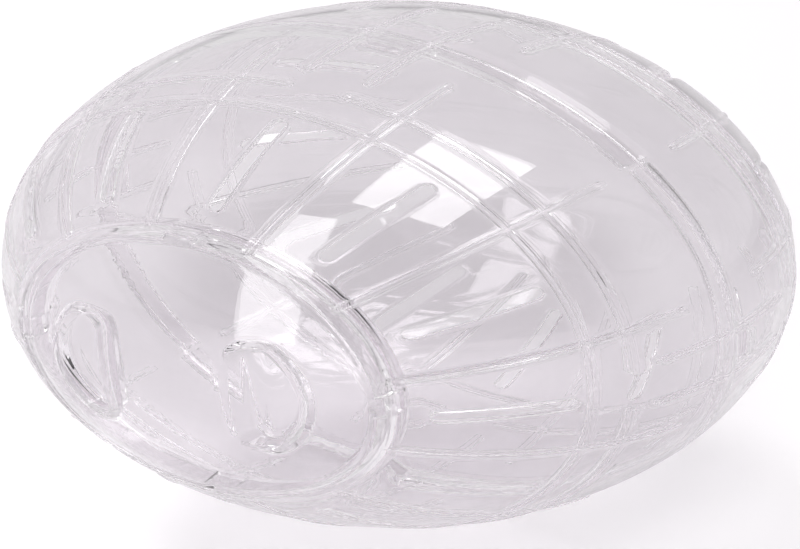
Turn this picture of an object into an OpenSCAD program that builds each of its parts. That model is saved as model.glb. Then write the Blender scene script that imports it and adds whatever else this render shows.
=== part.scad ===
// Clear hamster ball: two halves that snap together round the middle, and a lift-out door.
// Every piece is drawn on a round ball whose pole is the middle of the doorway,
// and in_place() then draws the round ball out to its real, elongated form.

/* [Ball] */
// Length of the ball from end to end
ball_length = 190; // [165:1:230]
// Diameter of the ball round its waist
ball_d = 126; // [112:1:150]
// Wall of the two halves
wall = 1.6; // [1.2:0.1:2.2]
// Turn of the doorway from square across the ball towards one end, in degrees on the round ball
pole_turn = 35.3; // [20:0.1:45]

/* [Doorway] */
// Diameter of the door across its round form
door_d = 66.8; // [56:0.2:74]
// Wall of the door
door_wall = 1.6; // [1.2:0.1:2.2]
// Running gap all round between the door and the collar
door_gap = 0.4; // [0.3:0.05:0.6]
// Wall of the collar round the doorway
collar_wall = 1.7; // [1.5:0.1:2.4]
// Depth of the collar, inwards from the ball's surface
collar_depth = 5; // [4:0.1:7]
// How far the collar's rim stands above the ball's surface
rim_height = 0.25; // [0.1:0.05:0.6]
// Width of the ledge that the door rests on
ledge_width = 1.4; // [1:0.1:2.5]
// Thickness of the ledge
ledge_thickness = 1.1; // [0.8:0.1:1.5]
// Turn of the door in its seat, in degrees from the ball's long side
door_turn = 4.5; // [0:0.5:9]

/* [Door lugs] */
// Number of lugs round the door
lug_count = 4; // [3:1:6]
// Width of a lug
lug_width = 5; // [4:0.1:7]
// How far a lug stands out from the door's edge
lug_reach = 1.2; // [0.9:0.1:1.3]
// Radius of a lug's corners
lug_corner = 0.8; // [0.4:0.1:1.1]
// Clearance round a lug in its notch
lug_gap = 0.3; // [0.2:0.05:0.4]

/* [Finger wells] */
// Distance from the door's middle to a well's straight side
well_from_middle = 12.4; // [11:0.1:14]
// Width of a finger well, from its straight side to the middle of its curved side
well_width = 10.5; // [9:0.1:11.5]
// Radius of a finger well's curved side
well_arc_r = 18.4; // [17:0.1:20]
// Radius of a finger well's two corners
well_corner = 3.5; // [2.5:0.1:4]
// Depth of a finger well's floor below the top of the door
well_depth = 7; // [6:0.1:8]
// How much narrower a finger well is at its floor, each side
well_draft = 0.6; // [0:0.1:1.2]

/* [Ribs and vents] */
// Number of long ribs on each half
rib_count = 12; // [8:4:16]
// Width of a rib
rib_width = 1.1; // [0.8:0.1:1.6]
// Height of a rib above the ball's surface
rib_height = 0.3; // [0.2:0.05:0.6]
// Distance along the surface from the seam to the start of a long rib
rib_from_seam = 9.8; // [8:0.1:13]
// Distance along the surface from the seam to the inner ring
inner_ring_from_seam = 22.2; // [20.5:0.1:24]
// Distance along the surface from the seam to the outer ring
outer_ring_from_seam = 29.5; // [27:0.1:31]
// Width of a vent slot
slot_width = 2.6; // [1.8:0.1:3.2]
// Distance along the surface from the outer ring to a vent slot
slot_from_ring = 2.4; // [1.8:0.1:3.5]
// Distance along the surface from a vent slot to the doorway's collar
slot_from_collar = 5.9; // [4:0.1:8]

/* [Seam and latches] */
// Gap between the rims of the two halves
seam_gap = 0.1; // [0.05:0.05:0.3]
// How far a tongue reaches into the other half
tongue_reach = 3; // [2.4:0.1:3.6]
// Thickness of a tongue
tongue_thickness = 1.1; // [0.8:0.1:1.6]
// Clearance between a tongue and the wall outside it
tongue_gap = 0.3; // [0.2:0.05:0.4]
// Width of a latch, between the middles of its two side ribs
latch_width = 11.7; // [10:0.1:14]
// Length of a latch's side ribs from the seam
latch_rib_length = 17.2; // [14:0.1:19]
// How far a latch tab reaches into the other half
tab_reach = 6.6; // [6:0.1:7.5]
// Width of a latch tab
tab_width = 9; // [7:0.1:10]
// Distance of the latch's window from the seam
window_from_seam = 4.4; // [4:0.1:4.8]
// Width of the window along the seam
window_width = 7; // [5:0.1:7.5]
// Height of the window
window_height = 1.4; // [1.2:0.1:1.8]
// Clearance between a catch and the wall that it slides past
catch_gap = 0.35; // [0.3:0.05:0.5]
// Diameter of the round moulding mark behind each tab
mark_d = 1.8; // [1.2:0.1:2.6]
// Height of the moulding mark
mark_height = 0.3; // [0.2:0.05:0.5]

/* [Hidden] */
$fn = 48;
small_facets = 8;
well_facets = 24;
clear_tint = [0.86, 0.84, 0.87, 0.45];
overrun = 1;
quarter = 90;
half_turn = 180;

ball_r = ball_d / 2;
stretch = ball_length / ball_d;
sector = 360 / rib_count;
// The door's axis is the pole: longitude runs round it from the ball's long side
slot_longitude = -0.5;
seam_step_longitude = slot_longitude + quarter / 2;

door_r = door_d / 2;
collar_inner_r = door_r + door_gap;
collar_outer_r = collar_inner_r + collar_wall;
collar_top = sqrt(ball_r * ball_r - collar_outer_r * collar_outer_r);
collar_foot = collar_top - collar_depth;
ledge_inner_r = door_r - ledge_width;
skirt_foot = collar_foot + ledge_thickness + lug_gap;
lug_r = door_r + lug_reach;

// A finger well is a row of round corners along its curved side, under one hull
well_arc_middle = well_from_middle + well_width - well_arc_r;
well_row_r = well_arc_r - well_corner;
well_row_turn = acos((well_from_middle + well_corner - well_arc_middle) / well_row_r);
well_floor = ball_r - well_depth;

tongue_outer_r = ball_r - wall - tongue_gap;
tongue_inner_r = tongue_outer_r - tongue_thickness;
tongue_root = tongue_reach;
latch_half_turn = turn_of(latch_width / 2);
window_middle = window_from_seam + window_height / 2;
// Place of the moulding mark along the latch's side ribs
mark_share = 0.8;
// The catch is as proud as it can be and still slide past the wall below the window
catch_r = window_height / 2;
catch_out = sqrt(pow(ball_r - wall, 2) - pow(window_from_seam, 2)) - catch_gap;

// Angle on the round ball of a distance along its surface
function turn_of(distance) = distance / ball_r * half_turn / PI;

// Draws the round ball out along X, with its pole level and turned towards one end
module in_place() {
  color(clear_tint) scale([stretch, 1, 1]) rotate([0, 0, -pole_turn]) rotate([90, 0, 0]) children();
}

// Flat section of a round wall between two radii and two heights
module wall_section(inner_r, outer_r, low, high) {
  intersection() {
    difference() {
      circle(r = outer_r);
      circle(r = inner_r);
    }
    translate([0, low]) square([outer_r + overrun, high - low]);
  }
}

// Flat section of a ring's bead, rooted in the wall
module bead_section(distance) {
  rotate(turn_of(distance)) translate([ball_r - wall / 2, -rib_width / 2])
    square([wall / 2 + rib_height, rib_width]);
}

// Thin rib that follows the ball's surface from one height to another
module meridian_rib(low, high) {
  rotate([90, 0, 0]) linear_extrude(rib_width, center = true)
    wall_section(ball_r - wall / 2, ball_r + rib_height, low, high);
}

module long_ribs(high) {
  low = ball_r * sin(turn_of(rib_from_seam));
  for (i = [0 : rib_count - 1])
    rotate(slot_longitude + (i + 0.5) * sector) meridian_rib(low, high);
}

module rings() {
  rotate_extrude() bead_section(outer_ring_from_seam);
  // The inner ring stops at the side ribs of each latch
  for (i = [0 : 3])
    rotate(slot_longitude + i * quarter + latch_half_turn)
      rotate_extrude(angle = quarter - 2 * latch_half_turn) bead_section(inner_ring_from_seam);
}

module latch_side_ribs() {
  for (i = [0 : 3], side = [-1, 1])
    rotate(slot_longitude + i * quarter + side * latch_half_turn)
      meridian_rib(seam_gap / 2, ball_r * sin(turn_of(latch_rib_length)));
}

// Slot with round ends, cut square to the surface at its middle
module vent_slot() {
  low = turn_of(outer_ring_from_seam + slot_from_ring);
  high = acos(collar_outer_r / ball_r) - turn_of(slot_from_collar);
  half_length = ball_r * sin((high - low) / 2) - slot_width / 2;
  bottom = ball_r * cos((high - low) / 2) - wall - overrun;
  rotate([0, quarter - (low + high) / 2, 0]) translate([0, 0, bottom]) hull()
    for (side = [-1, 1]) translate([side * half_length, 0, 0])
      cylinder(d = slot_width, h = ball_r + overrun - bottom, $fn = small_facets);
}

module vent_slots() {
  for (i = [0 : rib_count - 1]) rotate(slot_longitude + i * sector) vent_slot();
}

// Part of a tongue: it hangs inside the other half's wall and is rooted in its own
module tongue(width, reach) {
  rotate(-width / 2) rotate_extrude(angle = width) {
    wall_section(tongue_inner_r, tongue_outer_r, -reach, tongue_root);
    wall_section(tongue_inner_r, ball_r - wall / 2, seam_gap / 2, tongue_root);
  }
}

// Catch along the outside of a latch tab, which lies under the other half's window
module catch() {
  width = turn_of(window_width - 2 * tongue_gap);
  rotate(-width / 2) rotate_extrude(angle = width)
    translate([catch_out - catch_r, -window_middle]) circle(r = catch_r, $fn = small_facets);
}

// A half has a tongue on every other quarter, so the same half turned over meets it
module tongues() {
  for (i = [0, 2]) rotate(slot_longitude + i * quarter) {
    tongue(quarter - 2 * turn_of(tongue_gap), tongue_reach);
    tongue(turn_of(tab_width), tab_reach);
    catch();
    rotate([0, quarter - turn_of(mark_share * latch_rib_length), 0])
      translate([0, 0, ball_r - wall / 2]) cylinder(d = mark_d, h = wall / 2 + mark_height, $fn = small_facets);
  }
}

module latch_windows() {
  for (i = [1, 3]) rotate(slot_longitude + i * quarter)
    translate([ball_r - 3 * wall, -window_width / 2, window_from_seam])
      cube([3 * wall + overrun, window_width, window_height]);
}

module lug_places() {
  for (i = [0 : lug_count - 1]) rotate(door_turn + i * 360 / lug_count) children();
}

// The half with the doorway, pole upwards
module open_half() {
  difference() {
    union() {
      rotate_extrude() {
        intersection() {
          wall_section(ball_r - wall, ball_r, seam_gap / 2, ball_r);
          translate([collar_inner_r, 0]) square([ball_r, ball_r]);
        }
        intersection() {
          circle(r = ball_r + rim_height);
          translate([collar_inner_r, collar_foot]) square([collar_wall, ball_r]);
        }
        translate([ledge_inner_r, collar_foot]) square([collar_outer_r - ledge_inner_r, ledge_thickness]);
      }
      long_ribs(collar_top);
      rings();
      latch_side_ribs();
      tongues();
    }
    vent_slots();
    latch_windows();
    lug_places() translate([ledge_inner_r, -lug_width / 2 - lug_gap, skirt_foot - 2 * lug_gap])
      cube([lug_r + lug_gap - ledge_inner_r, lug_width + 2 * lug_gap, ball_r]);
  }
}

// The same half with no doorway
module closed_half() {
  difference() {
    union() {
      rotate_extrude() wall_section(ball_r - wall, ball_r, seam_gap / 2, ball_r);
      long_ribs(collar_top);
      rings();
      latch_side_ribs();
      tongues();
    }
    vent_slots();
    latch_windows();
  }
}

module front_half() {
  in_place() open_half();
}

// Turned over about a seam step, so its tongues fall between those of the front half
module rear_half() {
  in_place() rotate(seam_step_longitude) rotate([half_turn, 0, 0])
    rotate(-seam_step_longitude) closed_half();
}

// Two wells back to back, narrower at the floor, grown by a wall where they are cups
module wells(grow, floor) {
  top_r = well_corner + grow;
  for (side = [0, 1]) rotate(door_turn + side * half_turn) translate([well_arc_middle, 0, floor]) hull()
    for (turn = [-1 : 1 / 3 : 1]) rotate(turn * well_row_turn) translate([well_row_r, 0, 0])
      cylinder(r1 = top_r - well_draft, r2 = top_r, h = ball_r - floor, $fn = well_facets);
}

// Lug with rounded corners
module lug() {
  hull() {
    for (side = [-1, 1])
      translate([lug_r - lug_corner, side * (lug_width / 2 - lug_corner), skirt_foot])
        cylinder(r = lug_corner, h = ball_r, $fn = small_facets);
    translate([door_r - door_wall, -lug_width / 2, skirt_foot]) cube([door_wall / 2, lug_width, ball_r]);
  }
}

module door() {
  in_place() difference() {
    intersection() {
      sphere(r = ball_r);
      union() {
        translate([0, 0, skirt_foot]) cylinder(r = door_r, h = ball_r);
        lug_places() lug();
      }
    }
    difference() {
      intersection() {
        sphere(r = ball_r - door_wall);
        cylinder(r = door_r - door_wall, h = ball_r);
      }
      wells(door_wall, well_floor - door_wall);
    }
    wells(0, well_floor);
  }
}

front_half();
rear_half();
door();
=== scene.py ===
import bpy
import bmesh
from math import acos, atan2, ceil, cos, degrees, hypot, pi, radians, sin, sqrt
from mathutils import Matrix, Vector


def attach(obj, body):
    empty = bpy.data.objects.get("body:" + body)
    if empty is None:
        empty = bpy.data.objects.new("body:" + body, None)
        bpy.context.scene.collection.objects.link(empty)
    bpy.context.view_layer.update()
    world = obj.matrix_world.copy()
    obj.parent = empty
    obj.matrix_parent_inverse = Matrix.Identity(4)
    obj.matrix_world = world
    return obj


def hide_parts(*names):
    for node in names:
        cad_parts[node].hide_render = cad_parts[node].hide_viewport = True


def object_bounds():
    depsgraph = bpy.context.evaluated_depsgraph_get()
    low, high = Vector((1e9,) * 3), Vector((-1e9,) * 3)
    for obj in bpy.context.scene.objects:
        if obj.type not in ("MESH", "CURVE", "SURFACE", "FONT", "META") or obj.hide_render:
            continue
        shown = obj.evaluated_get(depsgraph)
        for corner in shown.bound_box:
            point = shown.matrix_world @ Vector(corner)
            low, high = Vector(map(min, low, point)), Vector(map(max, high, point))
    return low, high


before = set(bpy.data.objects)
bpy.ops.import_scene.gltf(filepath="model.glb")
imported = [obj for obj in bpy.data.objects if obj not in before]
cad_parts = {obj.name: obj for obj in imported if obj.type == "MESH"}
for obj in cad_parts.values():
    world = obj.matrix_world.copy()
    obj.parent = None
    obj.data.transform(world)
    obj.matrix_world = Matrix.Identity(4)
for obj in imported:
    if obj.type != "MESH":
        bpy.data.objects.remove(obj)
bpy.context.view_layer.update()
print("frame loaded")

mm = 0.001
fullTurn = 360
halfTurn = 180
quarterTurn = 90
near = 0.01
mostly = 0.5  # a face looks along an axis when its normal goes further along it than this
roundSteps = (0, 30, 60, 90)  # where a rounding has its lines, in degrees

# The ball is worked out round, with its pole in the middle of the doorway, and drawn out along X at the end
ball = {"length": 190, "diameter": 126, "wall": 1.6, "poleTurn": 35.3, "slotTurn": -0.5, "inset": 0.998}
radius = ball["diameter"] / 2


def turnOf(distance):  # degrees on the round ball of a distance along its surface
    return degrees(distance / radius)


# What the halves are made of: lengths in millimetres along the surface, angles in degrees
shell = {"facet": 1.5, "seamGap": 0.1, "seamSlope": 0.4, "edgeRound": 0.14,
         "roundAbove": 38, "smoothBelow": 40}
relief = {"ribs": 12, "width": 1.1, "height": 0.28, "round": 0.22, "inside": 0.22, "insideSlope": 0.2,
          "start": 9.8, "innerRing": 22.2, "outerRing": 29.5}
slots = {"width": 2.6, "round": 0.35, "fromRing": 2.4, "fromCollar": 5.9, "endStep": 15, "keptShare": 1.05}
collar = {"wall": 1.7, "depth": 5, "ledgeWidth": 1.4, "ledgeThickness": 1.1}
latch = {"width": 11.7, "ribLength": 17.2,
         "tongueReach": 3, "tongueThickness": 1.1, "tongueGap": 0.3, "rootShare": 0.35, "tipThickness": 0.5,
         "tabReach": 6.6, "tabWidth": 9, "windowStart": 4.4, "windowWidth": 7, "windowHeight": 1.4,
         "catchHeight": 0.12, "catchShare": 0.75, "markWidth": 1.8, "markHeight": 0.15, "markPlace": 13.8}
# The door, which the collar is made to fit
door = {"radius": 33.4, "wall": 1.6, "gap": 0.4, "turn": 4.5, "facet": 1.5, "band": 0.8, "insideLip": 0.5,
        "rimPoints": 168, "gridShift": 0.137, "gridShare": 0.999, "skirtShare": 0.98}
lugs = {"count": 4, "width": 5, "reach": 1.2, "gap": 0.3, "upright": 0.2}

collarInner = door["radius"] + door["gap"]
collarOuter = collarInner + collar["wall"]
collarTop = sqrt(radius ** 2 - collarOuter ** 2)
skirtFoot = collarTop - collar["depth"] + collar["ledgeThickness"] + lugs["gap"]

# A half is worked on a flat sheet: X is longitude and Y latitude in degrees, and Z is height in millimetres
sheet = {"left": -50,
         "seam": turnOf(shell["seamGap"] / 2),
         "collar": degrees(acos(collarOuter / radius)),
         "doorway": degrees(acos(collarInner / radius)),
         "ledge": degrees(acos((door["radius"] - collar["ledgeWidth"]) / radius))}
sheet["right"] = sheet["left"] + fullTurn
step = turnOf(shell["facet"])
sector = fullTurn / relief["ribs"]
halfRib = turnOf(relief["width"] / 2)
halfSlot = turnOf(slots["width"] / 2)
slotLow = turnOf(relief["outerRing"] + slots["fromRing"])
slotHigh = sheet["collar"] - turnOf(slots["fromCollar"])
slotRows = [halfSlot * (1 - cos(radians(angle))) for angle in roundSteps]
latchTurn = turnOf(latch["width"] / 2)
tongueEnd = turnOf(latch["tongueReach"])
halfWindow = turnOf(latch["windowWidth"] / 2)
windowLow = turnOf(latch["windowStart"])
windowHigh = turnOf(latch["windowStart"] + latch["windowHeight"])
windowMiddle = turnOf(latch["windowStart"] + latch["windowHeight"] / 2)
windowReach = turnOf(latch["windowHeight"] / 2)


def beginEdit(obj):
    bpy.ops.object.select_all(action="DESELECT")
    bpy.context.view_layer.objects.active = obj
    obj.select_set(True)
    bpy.ops.object.mode_set(mode="EDIT")
    bpy.ops.mesh.select_mode(type="FACE")
    bpy.ops.mesh.select_all(action="DESELECT")


def endEdit():
    bpy.ops.object.mode_set(mode="OBJECT")


def pick(obj, mode, kind, wanted):  # selects what passes the test, and nothing else
    bpy.ops.mesh.select_mode(type=mode)
    mesh = bmesh.from_edit_mesh(obj.data)
    for part in getattr(mesh, kind):
        part.select = wanted(part)
    mesh.select_flush_mode()
    bmesh.update_edit_mesh(obj.data)


def pickFaces(obj, wanted):  # by their middles and normals
    pick(obj, "FACE", "faces", lambda face: wanted(face.calc_center_median(), face.normal))


def pickEdges(obj, wanted):
    pick(obj, "EDGE", "edges", wanted)


def pickPoints(obj, wanted):  # by their places
    pick(obj, "VERT", "verts", lambda point: wanted(point.co))


def pickRim(obj, wanted):  # the open edges whose two ends pass the test
    pickEdges(obj, lambda edge: edge.is_boundary and all(wanted(point.co) for point in edge.verts))


def movePicked(obj, move):
    mesh = bmesh.from_edit_mesh(obj.data)
    for point in mesh.verts:
        if point.select:
            point.co = move(point.co)
    bmesh.update_edit_mesh(obj.data)


def extrude(x=0, y=0, z=0):
    bpy.ops.mesh.extrude_region_move(TRANSFORM_OT_translate={"value": (x, y, z)})


def cutAcross(axis, places):  # an edge line through what is selected at each place
    normal = [0, 0, 0]
    normal[axis] = 1
    for place in places:
        bpy.ops.mesh.bisect(plane_co=[place * n for n in normal], plane_no=normal)


def cutEverywhere(axis, places):
    for place in places:
        bpy.ops.mesh.select_all(action="SELECT")
        cutAcross(axis, [place])


def spread(places, widest):  # the places in order, with more between them where they lie far apart
    places = sorted(set(round(place, 6) for place in places))
    filled = []
    for low, high in zip(places, places[1:]):
        count = max(1, ceil((high - low) / widest))
        filled += [low + (high - low) * i / count for i in range(count)]
    return filled + [places[-1]]


def useModifier(obj, kind, **settings):
    bpy.ops.object.select_all(action="DESELECT")
    bpy.context.view_layer.objects.active = obj
    obj.select_set(True)
    modifier = obj.modifiers.new(kind.title(), kind)
    for name, value in settings.items():
        setattr(modifier, name, value)
    bpy.ops.object.modifier_apply(modifier=modifier.name)


def offset(x, pitch, start=0):  # signed distance to the nearest of a row of places
    return (x - start + pitch / 2) % pitch - pitch / 2


def fromTongue(x):  # degrees round from the middle of the nearest quarter with a tongue
    return abs(offset(x, halfTurn))


def fromWindow(x):  # and from that of the nearest quarter with a window
    return abs(offset(x, halfTurn, quarterTurn))


def inBand(value, middle, half):
    return abs(value - middle) < half


def flatQuarter(top):  # a quarter of a half, with a line at the edge of everything on it
    height = top - sheet["seam"]
    place = (sheet["left"] + quarterTurn / 2, sheet["seam"] + height / 2, 0)
    bpy.ops.mesh.primitive_plane_add(size=1, location=place)
    obj = bpy.context.object
    obj.scale = (quarterTurn, height, 1)
    bpy.ops.object.transform_apply(location=True, scale=True)
    columns = [sheet["left"], sheet["left"] + quarterTurn]
    for rib in (-3, -1, 1):
        columns += [rib * sector / 2 - halfRib, rib * sector / 2 + halfRib]
    for slot in (-1, 0, 1):
        columns += [slot * sector - halfSlot, slot * sector, slot * sector + halfSlot]
    for side in (-1, 1):
        columns += [side * (latchTurn - halfRib), side * (latchTurn + halfRib), side * halfWindow]
    rows = [sheet["seam"], sheet["seam"] + turnOf(shell["seamSlope"]), top, sheet["collar"]]
    rows += [tongueEnd, windowLow, windowHigh]
    rows += [turnOf(relief["start"]), turnOf(latch["ribLength"]), turnOf(latch["markPlace"])]
    for ring in (relief["innerRing"], relief["outerRing"]):
        rows += [turnOf(ring) - halfRib, turnOf(ring) + halfRib]
    rows += [slotLow + row for row in slotRows] + [slotHigh - row for row in slotRows]
    beginEdit(obj)
    cutEverywhere(0, spread(columns, step)[1:-1])
    cutEverywhere(1, spread(rows, step)[1:-1])
    pickFaces(obj, lambda c, n: abs(offset(c.x, sector)) < halfSlot and slotLow < c.y < slotHigh)
    bpy.ops.mesh.delete(type="FACE")
    endEdit()
    roundSlotEnds(obj)
    return obj


def roundSlotEnds(obj):
    endTurn = radians(slots["endStep"])
    for point in obj.data.vertices:
        across = offset(point.co.x, sector)
        for end, way in ((slotLow, 1), (slotHigh, -1)):
            along = way * (point.co.y - end)
            if abs(abs(across) - halfSlot) < near and -near < along < halfSlot - near:
                share = sqrt(max(0, 1 - (1 - along / halfSlot) ** 2))
                if along < near:
                    share = sin(endTurn)
                    point.co.y += way * halfSlot * (1 - cos(endTurn))
                point.co.x += (share - 1) * across


def roundOpenings(obj):  # the edges of slots and windows, outside and inside
    def onOpening(p):
        if slotLow - near < p.y < slotHigh + near:
            return abs(offset(p.x, sector)) < halfSlot + near
        return fromWindow(p.x) < halfWindow + near and inBand(p.y, windowMiddle, windowReach + near)

    def onEdge(edge):
        low, high = (point.co for point in edge.verts)
        level = abs(low.z - high.z) < near
        return level and onOpening(low) and onOpening(high) and edge.calc_face_angle(0) > 1

    pickEdges(obj, onEdge)
    bpy.ops.mesh.bevel(offset=slots["round"], segments=2, affect="EDGES", loop_slide=False)


def onRelief(c):  # ribs, rings and the latches' side ribs
    if c.y > sheet["collar"]:
        return False
    if inBand(offset(c.x, sector, sector / 2), 0, halfRib) and c.y > turnOf(relief["start"]):
        return True
    besideLatch = abs(offset(c.x, quarterTurn)) - latchTurn
    if abs(besideLatch) < halfRib and c.y < turnOf(latch["ribLength"]):
        return True
    if inBand(c.y, turnOf(relief["innerRing"]), halfRib) and besideLatch > -halfRib:
        return True
    return inBand(c.y, turnOf(relief["outerRing"]), halfRib)


def isMark(c):
    return inBand(c.y, turnOf(latch["markPlace"]), near) and fromTongue(c.x) < near


def atSheetSide(p):
    return min(abs(p.x - sheet["left"]), abs(p.x - sheet["right"])) < near


def softenLoop(obj, size, segments):  # bevels the edge round what is selected
    bpy.ops.mesh.region_to_loop()
    # The sheet's two sides meet on the ball, so their edges stay
    pickEdges(obj, lambda edge: edge.select and not all(atSheetSide(point.co) for point in edge.verts))
    bpy.ops.mesh.bevel(offset=size, segments=segments, affect="EDGES")


def raiseRelief(obj, collared):
    pickFaces(obj, lambda c, n: n.z > mostly and (onRelief(c) or (collared and c.y > sheet["collar"])))
    extrude(z=relief["height"])
    softenLoop(obj, relief["round"], 2)
    pickFaces(obj, lambda c, n: n.z < -mostly and onRelief(c) and c.y > tongueEnd)
    extrude(z=-relief["inside"])
    softenLoop(obj, relief["insideSlope"], 1)
    pickFaces(obj, lambda c, n: n.z > mostly and isMark(c))
    extrude(z=latch["markHeight"])


def slopeSeam(obj):  # the outer edge at the seam
    pickPoints(obj, lambda p: abs(p.y - sheet["seam"]) < near and p.z > -near)
    movePicked(obj, lambda p: Vector((p.x, p.y, p.z - shell["seamSlope"])))


def hangTongues(obj):  # they lie inside the other half's wall, on every other quarter
    bottom = -ball["wall"]
    outside = bottom - latch["tongueGap"]
    inside = outside - latch["tongueThickness"]
    halfTongue = quarterTurn / 2 - turnOf(latch["tongueGap"])
    halfTab = turnOf(latch["tabWidth"] / 2)
    tabEnd = turnOf(latch["tabReach"])
    pickFaces(obj, lambda c, n: n.z < -mostly and c.y < tongueEnd and fromTongue(c.x) < halfTongue)
    extrude(z=inside - bottom)
    pickPoints(obj, lambda p: p.z < inside + near and p.y > tongueEnd - near)
    movePicked(obj, lambda p: Vector((p.x, p.y * latch["rootShare"], p.z)))
    pickFaces(obj, lambda c, n: n.y < -mostly and c.z < bottom)
    cutAcross(2, [outside])
    pickFaces(obj, lambda c, n: n.y < -mostly and c.z < outside)
    extrude(y=-tongueEnd)
    pickFaces(obj, lambda c, n: n.y < -mostly and c.y < -step and fromTongue(c.x) < halfTab)
    extrude(y=turnOf(latch["tongueReach"] - latch["tabReach"]))
    pickFaces(obj, lambda c, n: n.z > mostly and c.y < -tongueEnd - near)
    cutAcross(1, [-windowLow, -windowHigh])
    pickFaces(obj, lambda c, n: n.z > mostly and fromTongue(c.x) < halfTab * latch["catchShare"] and
              inBand(c.y, -windowMiddle, windowReach))
    extrude(z=latch["catchHeight"])

    def atTip(p):
        if p.z > inside + near:
            return False
        return abs(p.y + tabEnd) < near or abs(p.y + tongueEnd) < near and fromTongue(p.x) > halfTab + near

    pickPoints(obj, atTip)
    movePicked(obj, lambda p: Vector((p.x, p.y, outside - latch["tipThickness"])))


def hangCollar(obj):
    bottom = -ball["wall"]
    ledgeTop = collar["ledgeThickness"] - collar["depth"]
    pickFaces(obj, lambda c, n: n.z < -mostly and c.y > sheet["collar"])
    extrude(z=-collar["depth"] - bottom)
    pickFaces(obj, lambda c, n: n.y > mostly and c.z < bottom)
    cutAcross(2, [ledgeTop])
    pickFaces(obj, lambda c, n: n.y > mostly and c.z < ledgeTop)
    extrude(y=sheet["ledge"] - sheet["doorway"])


def keepWidth(x, y):  # longitude that keeps ribs and slots as wide at the doorway as at the seam
    pitch = sector / 2
    middle = pitch / 2
    kept = halfSlot * slots["keptShare"]
    grow = 1 / cos(radians(min(max(y, 0), sheet["doorway"])))
    away = offset(x, pitch)
    size = abs(away)
    if size < kept:
        size = size * grow
    else:
        size = middle - (middle - size) * (middle - kept * grow) / (middle - kept)
    return x - away + (size if away > 0 else -size)


def ontoBall(point, capped):
    x, y, z = point
    longitude = radians(keepWidth(x, y))
    latitude = radians(y)
    lean = latitude
    if not capped:  # near the doorway the wall turns to stand along the pole, as the collar does
        share = min(1, max(0, (y - slotHigh - step) / (sheet["collar"] - slotHigh - step)))
        lean = latitude + share * (pi / 2 - latitude)
    out = radius * cos(latitude) + z * cos(lean)
    up = radius * sin(latitude) + z * sin(lean)
    if not capped and y > sheet["collar"] - near and z < -ball["wall"] - near:
        up = collarTop + z
    return Vector((out * cos(longitude), out * sin(longitude), up))


def mergePoints(obj):
    beginEdit(obj)
    bpy.ops.mesh.select_all(action="SELECT")
    bpy.ops.mesh.remove_doubles(threshold=near / 2)
    bpy.ops.mesh.normals_make_consistent(inside=False)
    endEdit()


def intoPlace(obj, turnedOver=False):  # from the round ball with its pole up to the long ball lying down
    place = Matrix.Rotation(radians(ball["slotTurn"]), 4, "Z")
    if turnedOver:
        seamTurn = radians(ball["slotTurn"] + quarterTurn / 2)
        toSeam = Matrix.Rotation(seamTurn, 4, "Z")
        fromSeam = Matrix.Rotation(-seamTurn, 4, "Z")
        place = toSeam @ Matrix.Rotation(pi, 4, "X") @ fromSeam @ place
    lieDown = Matrix.Rotation(-radians(ball["poleTurn"]), 4, "Z") @ Matrix.Rotation(pi / 2, 4, "X")
    stretch = Matrix.Diagonal((ball["length"] / ball["diameter"], 1, 1, 1))
    obj.data.transform(Matrix.Scale(mm * ball["inset"], 4) @ stretch @ lieDown @ place)
    obj.data.update()


def finishEdges(obj):
    useModifier(obj, "BEVEL", width=shell["edgeRound"] * mm, segments=2, limit_method="ANGLE",
                angle_limit=radians(shell["roundAbove"]), use_clamp_overlap=False)
    bpy.ops.object.shade_smooth_by_angle(angle=radians(shell["smoothBelow"]))


def makeHalf(name, capped):
    obj = flatQuarter(quarterTurn if capped else sheet["doorway"])
    obj.name = name
    useModifier(obj, "ARRAY", count=4, use_relative_offset=False, use_constant_offset=True,
                constant_offset_displace=(quarterTurn, 0, 0), use_merge_vertices=True, merge_threshold=near)
    beginEdit(obj)
    pickFaces(obj, lambda c, n: fromWindow(c.x) < halfWindow and inBand(c.y, windowMiddle, windowReach))
    bpy.ops.mesh.delete(type="FACE")
    pickPoints(obj, isMark)
    bpy.ops.mesh.bevel(offset=turnOf(latch["markWidth"] / 2), segments=4, affect="VERTICES")
    endEdit()
    useModifier(obj, "SOLIDIFY", thickness=ball["wall"], offset=-1, use_rim=True)
    beginEdit(obj)
    roundOpenings(obj)
    raiseRelief(obj, not capped)
    slopeSeam(obj)
    hangTongues(obj)
    if not capped:
        hangCollar(obj)
    # The sheet's sides close on each other, and so does its top at the pole
    pickFaces(obj, lambda c, n: abs(n.x) > mostly and atSheetSide(c) or c.y > quarterTurn - near)
    bpy.ops.mesh.delete(type="FACE")
    endEdit()
    for point in obj.data.vertices:
        point.co = ontoBall(point.co, capped)
    mergePoints(obj)
    print(name, "wrapped onto the ball,", len(obj.data.polygons), "faces")
    return obj


def cutLugNotches(obj):
    reach = lugs["reach"] + lugs["gap"] + ball["wall"]
    bottom = skirtFoot - 2 * lugs["gap"]
    place = (door["radius"] - ball["wall"] + reach / 2, 0, bottom + radius / 2)
    for i in range(lugs["count"]):
        bpy.ops.object.select_all(action="DESELECT")
        bpy.ops.mesh.primitive_cube_add(size=1, location=place)
        cutter = bpy.context.object
        cutter.scale = (reach, lugs["width"] + 2 * lugs["gap"], radius)
        bpy.ops.object.transform_apply(location=True, scale=True)
        turn = radians(door["turn"] - ball["slotTurn"] + i * fullTurn / lugs["count"])
        cutter.data.transform(Matrix.Rotation(turn, 4, "Z"))
        useModifier(obj, "BOOLEAN", object=cutter, operation="DIFFERENCE", solver="EXACT")
        bpy.data.objects.remove(cutter)


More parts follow.
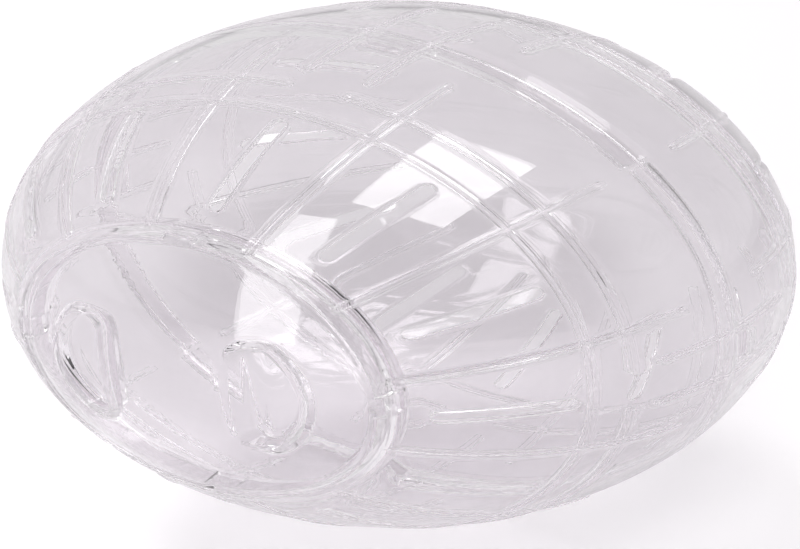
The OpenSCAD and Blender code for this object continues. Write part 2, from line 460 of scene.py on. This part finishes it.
frontHalf = makeHalf("clear_front_half", capped=False)
cutLugNotches(frontHalf)
intoPlace(frontHalf)
finishEdges(frontHalf)
rearHalf = makeHalf("clear_rear_half", capped=True)
intoPlace(rearHalf, turnedOver=True)
finishEdges(rearHalf)
print("halves finished")

# A finger well is a D with round corners: a straight side towards the middle of the door and an arc outside
wells = {"fromMiddle": 12.4, "width": 10.5, "arcRadius": 18.4, "corner": 3.5, "depth": 7, "draft": 0.6,
         "lipRound": 0.9, "floorRound": 1.2, "points": 96, "margin": 0.1}
arcMiddle = wells["fromMiddle"] + wells["width"] - wells["arcRadius"]
coreRadius = wells["arcRadius"] - wells["corner"]
coreStart = wells["fromMiddle"] + wells["corner"]
coreTurn = acos((coreStart - arcMiddle) / coreRadius)
coreEnd = coreRadius * sin(coreTurn)


def wellEdge(point, side):  # nearest point of the D through the corners' middles, and the way out from it
    x, y = side * point.x, side * point.y
    turn = atan2(y, x - arcMiddle)
    if abs(turn) < coreTurn and hypot(x - arcMiddle, y) > coreRadius:
        core = Vector((arcMiddle + coreRadius * cos(turn), coreRadius * sin(turn), 0))
    else:
        core = Vector((coreStart, min(coreEnd, max(-coreEnd, y)), 0))
    return core, Vector((x, y, 0)) - core


def ontoWell(point, side, grow, height):
    core, out = wellEdge(point, side)
    place = side * (core + out.normalized() * (wells["corner"] + grow))
    return Vector((place.x, place.y, height))


def onWell(side, grow):  # whether a point lies on the well's outline, grown by so much
    return lambda p: abs(wellEdge(p, side)[1].length - wells["corner"] - grow) < wells["margin"]


def nextLoop(obj, move):  # extrudes the picked edges and puts the new points in place
    bpy.ops.mesh.extrude_edges_move()
    movePicked(obj, move)


def flatPlate(name, plateRadius, outline):  # round, in small faces, with a hole where each well goes
    inner = plateRadius - door["band"]
    bpy.ops.object.select_all(action="DESELECT")
    bpy.ops.mesh.primitive_circle_add(vertices=door["rimPoints"], radius=plateRadius)
    obj = bpy.context.object
    obj.name = name
    beginEdit(obj)
    bpy.ops.mesh.select_mode(type="EDGE")
    bpy.ops.mesh.select_all(action="SELECT")
    nextLoop(obj, lambda p: p * inner / plateRadius)
    for side in (-1, 1):
        bpy.ops.mesh.select_all(action="DESELECT")
        place = (side * (wells["fromMiddle"] + wells["width"] / 2), 0, 0)
        size = wells["arcRadius"] + outline
        bpy.ops.mesh.primitive_circle_add(vertices=wells["points"], radius=size, location=place)
        movePicked(obj, lambda p: ontoWell(p, side, outline, 0))
    pickEdges(obj, lambda edge: all(point.co.xy.length < inner + near for point in edge.verts))
    bpy.ops.mesh.fill()
    count = ceil(inner / door["facet"])
    for axis in (0, 1):
        for i in range(-count, count + 1):
            pickFaces(obj, lambda c, n: c.length < inner * door["gridShare"])
            cutAcross(axis, [i * door["facet"] + door["gridShift"]])
    return obj


# A domed plate with both wells and the skirt; the inside of the door has its wells grown by the wall
def dishedPlate(name, plateRadius, domeRadius, grow, lip, floorHeight, floorRound):
    outline = grow + lip + door["band"]
    obj = flatPlate(name, plateRadius, outline)
    for side in (-1, 1):
        pickRim(obj, onWell(side, outline))
        for angle in roundSteps:
            out = grow + lip * (1 - sin(radians(angle)))
            drop = lip * (1 - cos(radians(angle)))
            nextLoop(obj, lambda p: ontoWell(p, side, out, -drop))
    bpy.ops.mesh.select_all(action="SELECT")
    movePicked(obj, lambda p: Vector((p.x, p.y, p.z + sqrt(domeRadius ** 2 - p.x ** 2 - p.y ** 2))))
    for side in (-1, 1):
        pickRim(obj, onWell(side, grow))
        for angle in roundSteps:
            out = grow - wells["draft"] - floorRound * (1 - cos(radians(angle)))
            up = floorHeight + floorRound * (1 - sin(radians(angle)))
            nextLoop(obj, lambda p: ontoWell(p, side, out, up))
        bpy.ops.mesh.edge_face_add()
    pickRim(obj, lambda p: p.xy.length > plateRadius - near)
    nextLoop(obj, lambda p: Vector((p.x, p.y, skirtFoot)))
    endEdit()
    return obj


def addLugs(obj):
    halfLug = degrees(lugs["width"] / 2 / door["radius"]) + near
    skirt = door["radius"] * door["skirtShare"]
    tip = door["radius"] + lugs["reach"]

    def onLug(c, n):
        turn = degrees(c.xy.angle_signed(Vector((1, 0)))) if c.xy.length else 0
        outside = abs(n.z) < lugs["upright"] and c.xy.length > skirt and n.xy.dot(c.xy) > 0
        return outside and abs(offset(turn, fullTurn / lugs["count"])) < halfLug

    def outwards(p):
        place = Vector((p.x, p.y, 0)).normalized() * tip
        place.z = p.z if p.z < skirtFoot + near else sqrt(radius ** 2 - tip ** 2)
        return place

    pickFaces(obj, onLug)
    extrude()
    movePicked(obj, outwards)


def makeDoor():
    wall = door["wall"]
    wellFloor = radius - wells["depth"]
    outer = dishedPlate("clear_door", door["radius"], radius, 0,
                        wells["lipRound"], wellFloor, wells["floorRound"])
    inner = dishedPlate("inside", door["radius"] - wall, radius - wall, wall,
                        door["insideLip"], wellFloor - wall, wells["floorRound"] + wall)
    bpy.ops.object.select_all(action="DESELECT")
    outer.select_set(True)
    inner.select_set(True)
    bpy.context.view_layer.objects.active = outer
    bpy.ops.object.join()
    beginEdit(outer)
    pickRim(outer, lambda p: p.z < skirtFoot + near)
    bpy.ops.mesh.bridge_edge_loops()
    bpy.ops.mesh.select_all(action="SELECT")
    bpy.ops.mesh.normals_make_consistent(inside=False)
    addLugs(outer)
    endEdit()
    outer.data.transform(Matrix.Rotation(radians(door["turn"] - ball["slotTurn"]), 4, "Z"))
    mergePoints(outer)
    return outer


clearDoor = makeDoor()
intoPlace(clearDoor)
finishEdges(clearDoor)
print("door finished,", len(clearDoor.data.polygons), "faces")


class Number:  # a number made by nodes, so that a pattern is written as a sum
    def __init__(self, finish, socket):
        self.finish = finish
        self.socket = socket

    def join(self, operation, first, second):
        return self.finish.number("Math", {"operation": operation}, {0: first, 1: second})

    def __add__(self, other):
        return self.join("ADD", self, other)

    def __sub__(self, other):
        return self.join("SUBTRACT", self, other)

    def __rsub__(self, other):
        return self.join("SUBTRACT", other, self)

    def __mul__(self, other):
        return self.join("MULTIPLY", self, other)

    __radd__ = __add__
    __rmul__ = __mul__


class Finish:  # the nodes of one material or of the world
    def __init__(self, owner):
        owner.use_nodes = True
        self.tree = owner.node_tree
        self.tree.nodes.clear()

    def node(self, kind, settings=None, sockets=None):
        made = self.tree.nodes.new("ShaderNode" + kind)
        for name, value in (settings or {}).items():
            if name == "stops":
                for place, colour in value:
                    stop = made.color_ramp.elements.new(place)
                    stop.color = colour
                made.color_ramp.elements.remove(made.color_ramp.elements[0])
                made.color_ramp.elements.remove(made.color_ramp.elements[-1])
            else:
                setattr(made, name, value)
        for name, value in (sockets or {}).items():
            if isinstance(value, Number):
                value = value.socket
            if isinstance(value, bpy.types.NodeSocket):
                self.tree.links.new(value, made.inputs[name])
            else:
                made.inputs[name].default_value = value
        return made

    def number(self, kind, settings=None, sockets=None, output=0):
        return Number(self, self.node(kind, settings, sockets).outputs[output])


# Clear moulded plastic: what it takes from the light, how flat it is moulded and how it is scuffed
plastic = {"ior": 1.5, "waveSize": 16, "waveHeight": 0.05, "scuffSize": 900, "scuffHeight": 0.01,
           "gloss": 0.012, "haze": 0.03, "hazeSize": 70, "clearBelow": 0.35, "hazyAbove": 0.65,
           "shadow": (0.78, 0.77, 0.78, 1)}
# The clearer and the hazier colour of each part
tints = {"clear_shell": ((0.955, 0.942, 0.955, 1), (0.93, 0.916, 0.93, 1)),
         "clear_door": ((0.95, 0.936, 0.951, 1), (0.925, 0.911, 0.926, 1))}


def clearPlastic(name, tint):
    material = bpy.data.materials.new(name)
    finish = Finish(material)
    place = finish.node("TexCoord").outputs["Object"]
    roundBall = finish.node("Mapping", sockets={
        "Vector": place,
        "Rotation": (0, 0, radians(ball["poleTurn"])),
        "Scale": (ball["diameter"] / ball["length"], 1, 1)}).outputs[0]

    def noise(size, detail):
        return finish.number("TexNoise", sockets={"Vector": roundBall, "Scale": size, "Detail": detail})

    flow = noise(plastic["waveSize"], 1)
    haze = noise(plastic["hazeSize"], 4)
    scuffs = noise(plastic["scuffSize"], 2)
    stops = [(plastic["clearBelow"], tint[0]), (plastic["hazyAbove"], tint[1])]
    colour = finish.node("ValToRGB", {"stops": stops}, {"Fac": haze}).outputs[0]
    bump = finish.node("Bump", sockets={
        "Height": flow + plastic["scuffHeight"] * scuffs,
        "Distance": plastic["waveHeight"] * mm,
        "Strength": 1}).outputs[0]
    clear = finish.node("BsdfPrincipled", sockets={
        "Base Color": colour,
        "Roughness": plastic["gloss"] + plastic["haze"] * haze * scuffs,
        "Normal": bump,
        "IOR": plastic["ior"],
        "Transmission Weight": 1}).outputs[0]
    shadow = finish.node("BsdfTransparent", sockets={"Color": plastic["shadow"]}).outputs[0]
    isShadow = finish.node("LightPath").outputs["Is Shadow Ray"]
    mixed = finish.node("MixShader", sockets={0: isShadow, 1: clear, 2: shadow}).outputs[0]
    finish.node("OutputMaterial", sockets={"Surface": mixed})
    return material


pieces = {"front": (frontHalf, "front_half", "clear_shell"),
          "rear": (rearHalf, "rear_half", "clear_shell"),
          "door": (clearDoor, "door", "clear_door")}
finishes = {slot: clearPlastic(slot, tint) for slot, tint in tints.items()}
for body, (piece, node, slot) in pieces.items():
    piece.data.materials.clear()
    piece.data.materials.append(finishes[slot])
    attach(piece, body)
    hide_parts(node)
print("plastic made and pieces set on their bodies")

# The camera stands in front and looks down at the middle of the ball
camera = {"elevation": 33.05, "distance": 0.756, "lens": 142, "shiftX": 0.0019, "shiftY": -0.0125}


def turnedToBall(name, data, location, across=None):  # a camera or lamp that looks at the middle of the ball
    obj = bpy.data.objects.new(name, data)
    bpy.context.scene.collection.objects.link(obj)
    back = Vector(location).normalized()
    side = Vector(across) if across else Vector((0, 0, 1)).cross(back)
    side = (side - side.dot(back) * back).normalized()
    turn = Matrix((side, back.cross(side), back)).transposed()
    obj.matrix_world = Matrix.Translation(location) @ turn.to_4x4()
    return obj


def setCamera():
    data = bpy.data.cameras.new("camera")
    data.lens = camera["lens"]
    data.shift_x = camera["shiftX"]
    data.shift_y = camera["shiftY"]
    up = radians(camera["elevation"])
    away = camera["distance"]
    bpy.context.scene.camera = turnedToBall("camera", data, (0, -away * cos(up), away * sin(up)))


# Soft panels: middle and sides in metres, the line of the first side, how bright the panel looks,
# and whether the plastic shows it
panels = {
    "topPanel": {"middle": (0.15, -0.36, 0.92), "sides": (0.385, 0.62), "across": (0.33, -0.17, -0.08),
                 "bright": 4.5, "seen": True},
    "frontPanel": {"middle": (-0.39, -0.76, 0.38), "sides": (0.23, 0.94), "across": (0.2, -0.08, 0),
                   "bright": 4, "seen": True},
    "backPanel": {"middle": (-0.75, 0.75, 0.8), "sides": (0.4, 0.4), "across": (1, 1, 0),
                  "bright": 21, "seen": False}}


def setLamps():
    for name, panel in panels.items():
        data = bpy.data.lights.new(name, "AREA")
        data.shape = "RECTANGLE"
        data.size, data.size_y = panel["sides"]
        data.energy = panel["bright"] * pi * data.size * data.size_y
        lamp = turnedToBall(name, data, panel["middle"], panel["across"])
        lamp.visible_glossy = panel["seen"]
        lamp.visible_transmission = panel["seen"]


def whatSees(finish):  # 1 for rays from the camera, and 1 for those that the plastic reflects or lets through
    path = finish.node("LightPath")
    seen, glossy, through = (Number(finish, path.outputs["Is " + kind + " Ray"])
                             for kind in ("Camera", "Glossy", "Transmission"))
    return seen, finish.number("Math", {"operation": "MINIMUM"}, {0: glossy + through, 1: 1})


# The floor is white to the camera; through the plastic it is a share of that, less and less towards the back.
# That graded share is painted light: a glow, strongest just in front of and under the ball, that lightens the
# ball's own shadow where the plastic shows the floor
ground = {"size": 6, "colour": (0.715, 0.69, 0.715, 1), "grain": 300, "rough": 0.7, "grainRough": 0.1,
          "gloss": 0.2, "glow": 0.36, "nearShare": 0.62, "farShare": 0.17, "nearLine": -0.06, "farLine": 0.2}


def setFloor():
    bpy.ops.object.select_all(action="DESELECT")
    bpy.ops.mesh.primitive_plane_add(size=ground["size"], location=(0, 0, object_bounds()[0][2]))
    floor = bpy.context.object
    floor.name = "floor"
    bpy.ops.object.transform_apply(location=True)
    material = bpy.data.materials.new("floor")
    finish = Finish(material)
    place = finish.node("TexCoord").outputs["Object"]
    grain = finish.number("TexNoise", sockets={"Vector": place, "Scale": ground["grain"]})
    matt = finish.node("BsdfPrincipled", sockets={
        "Base Color": ground["colour"],
        "Roughness": ground["rough"] + ground["grainRough"] * grain,
        "Specular IOR Level": ground["gloss"]}).outputs[0]
    seen, throughPlastic = whatSees(finish)
    # painted light: the glow that the plastic sees is stronger near the ball, so that the ball's shadow seen
    # through its lower part is lightened
    share = finish.number("MapRange", sockets={
        "Value": finish.number("SeparateXYZ", sockets={"Vector": place}, output="Y"),
        "From Min": ground["nearLine"],
        "From Max": ground["farLine"],
        "To Min": ground["nearShare"],
        "To Max": ground["farShare"]})
    strength = ground["glow"] * (seen + throughPlastic * share)
    glow = finish.node("Emission", sockets={"Strength": strength}).outputs[0]
    both = finish.node("AddShader", sockets={0: matt, 1: glow}).outputs[0]
    finish.node("OutputMaterial", sockets={"Surface": both})
    floor.data.materials.append(material)


# The sky lights the floor at its level. The camera and the plastic see it white, but for a dark room in front
# in the plastic: its elevation, and how far from its middle it ends and is full, are in degrees
sky = {"level": 0.35, "room": 0.03, "roomElevation": 20, "roomSides": (60, 38)}


def setSky():
    world = bpy.data.worlds.new("sky")
    bpy.context.scene.world = world
    finish = Finish(world)
    direction = finish.node("TexCoord").outputs["Generated"]
    up = radians(sky["roomElevation"])
    toRoom = (0, -cos(up), sin(up))
    facing = finish.number("VectorMath", {"operation": "DOT_PRODUCT"}, {0: direction, 1: toRoom}, "Value")
    wide, narrow = (cos(radians(side)) for side in sky["roomSides"])
    room = finish.number("MapRange", {"interpolation_type": "SMOOTHSTEP"}, {
        "Value": facing,
        "From Min": wide,
        "From Max": narrow,
        "To Min": 1,
        "To Max": sky["room"]})
    seen, throughPlastic = whatSees(finish)
    level = sky["level"] + (1 - sky["level"]) * seen + (room - sky["level"]) * throughPlastic
    background = finish.node("Background", sockets={"Strength": level}).outputs[0]
    finish.node("OutputWorld", sockets={"Surface": background})


# Light crosses many faces of the clear walls before it is lost
lightPaths = {"plastic": 128, "shadow": 16}


def setLightPaths():
    cycles = bpy.context.scene.cycles
    cycles.max_bounces = lightPaths["plastic"]
    cycles.transmission_bounces = lightPaths["plastic"]
    cycles.glossy_bounces = lightPaths["plastic"]
    cycles.transparent_max_bounces = lightPaths["shadow"]


setCamera()
setLamps()
setFloor()
setSky()
setLightPaths()
bpy.context.scene.view_settings.view_transform = "Standard"
print("camera, lamps, floor and sky set")
